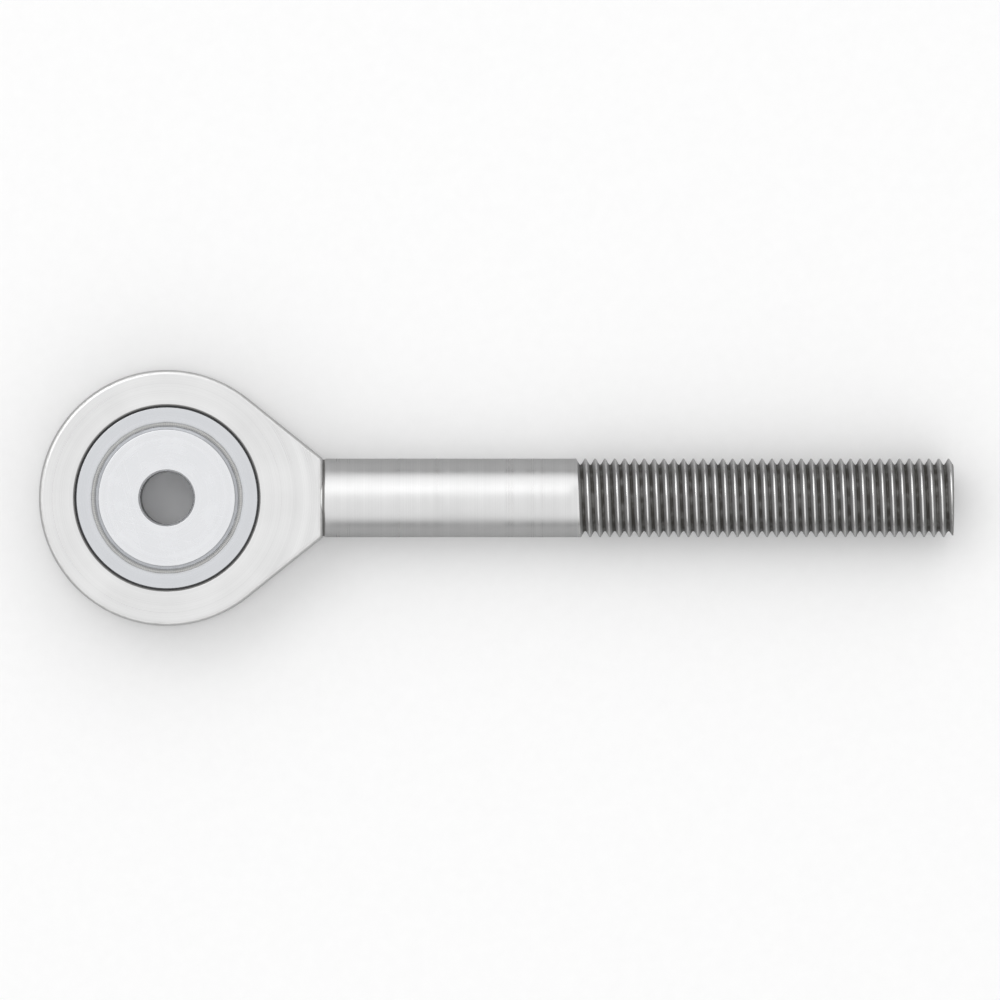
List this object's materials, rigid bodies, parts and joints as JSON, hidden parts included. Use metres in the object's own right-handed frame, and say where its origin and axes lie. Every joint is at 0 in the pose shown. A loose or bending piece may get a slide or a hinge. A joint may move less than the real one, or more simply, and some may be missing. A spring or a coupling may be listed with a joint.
{
  "type": "eye bolt with spherical bearing",
  "caption": "Threaded eye bolt: a flat round eye on a plain shank, with a self-aligning ball in the eye that turns and tilts for the pin.",
  "frame": {"origin": "under the middle of the overall box, on the surface that the bolt lies on; the eye's centre is at x = -0.08375, z = 0.011", "axes": "+X along the shank from the eye to the thread's tip, +Z along the pin hole and the bearing's axis"},
  "size_m": [0.2326, 0.065, 0.022],
  "materials": {
    "body_steel": "bright zinc-plated steel, turned shank and rolled thread",
    "race_steel": "ground bearing steel",
    "liner_fabric": "woven sliding fabric",
    "ball_chrome": "hard chrome over ground steel, polished"
  },
  "bodies": {
    "eye_bolt": {"eye_bolt_body": "body_steel", "race": "race_steel"},
    "sliding_liner": {"ptfe_liner": "liner_fabric"},
    "bearing_ball": {"ball": "ball_chrome"}
  },
  "joints": [
    {"name": "ball_turn", "type": "hinge", "parent": "eye_bolt", "child": "sliding_liner", "pos_m": [-0.08375, 0, 0.011], "axis": [0, 0, 1], "continuous": true},
    {"name": "ball_tilt", "type": "hinge", "parent": "sliding_liner", "child": "bearing_ball", "pos_m": [-0.08375, 0, 0.011], "axis": [0, 1, 0], "range_deg": [-6, 6]}
  ]
}
